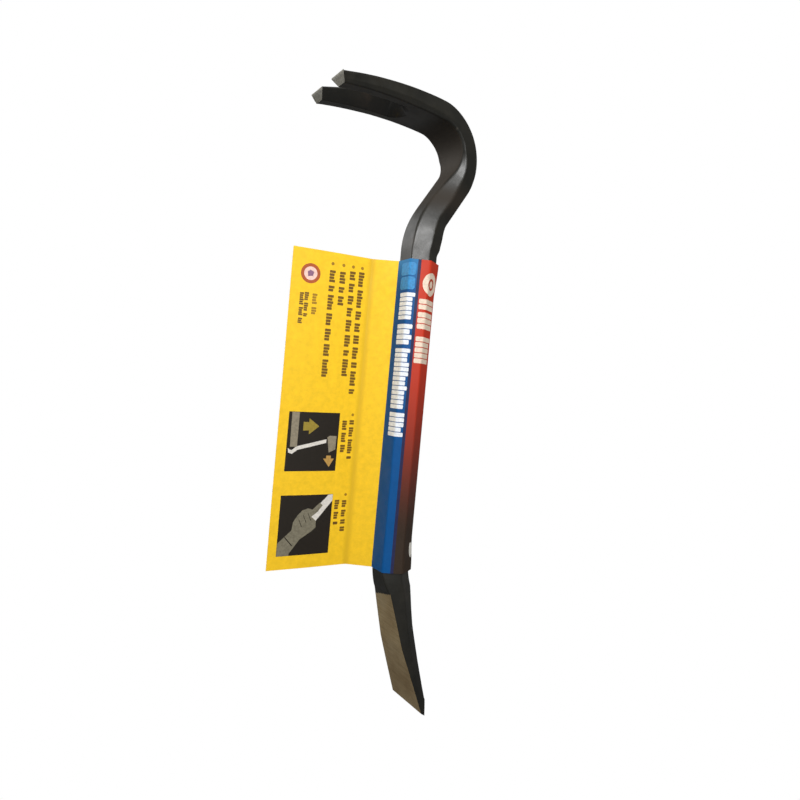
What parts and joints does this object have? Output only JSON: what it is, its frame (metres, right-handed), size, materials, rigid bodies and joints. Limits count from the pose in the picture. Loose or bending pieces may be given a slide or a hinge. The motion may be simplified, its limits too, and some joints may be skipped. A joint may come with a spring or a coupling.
{
  "type": "gooseneck pry bar",
  "caption": "Forged hexagon-steel pry bar with a slotted gooseneck claw and an offset chisel end, wearing a folded card label that slides on the shank.",
  "frame": {"origin": "on the hexagon shank's axis, at the middle of the card label", "axes": "+Z along the shank towards the gooseneck, -X the side the claw points to, Y across the claw's and the chisel's width"},
  "size_m": [0.1067, 0.0433, 0.3813],
  "materials": {
    "black_lacquered_steel": "satin",
    "printed_sleeve_card": "satin",
    "yellow_card": "satin",
    "plain_card_back": "matte",
    "dried_adhesive": "satin"
  },
  "bodies": {
    "bar": {"forged_bar": "black_lacquered_steel"},
    "sleeve": {"card_sleeve": "printed_sleeve_card"},
    "inner_flap": {"card_inner_panel": "yellow_card", "card_glue_tab": "plain_card_back", "adhesive_strip": "dried_adhesive"},
    "outer_flap": {"card_outer_panel": "yellow_card"}
  },
  "joints": [
    {"name": "sleeve_slide", "type": "slide", "parent": "bar", "child": "sleeve", "axis": [0, 0, 1], "range_m": [-0.0015, 0.004]},
    {"name": "flap_root_fold", "type": "hinge", "parent": "sleeve", "child": "inner_flap", "pos_m": [-0.0104, 0.006, 0], "axis": [0, 0, 1], "range_deg": [-35, 35]},
    {"name": "flap_crease_fold", "type": "hinge", "parent": "inner_flap", "child": "outer_flap", "pos_m": [-0.02322, 0.01639, 0], "axis": [0, 0, 1], "range_deg": [-60, 60]}
  ]
}
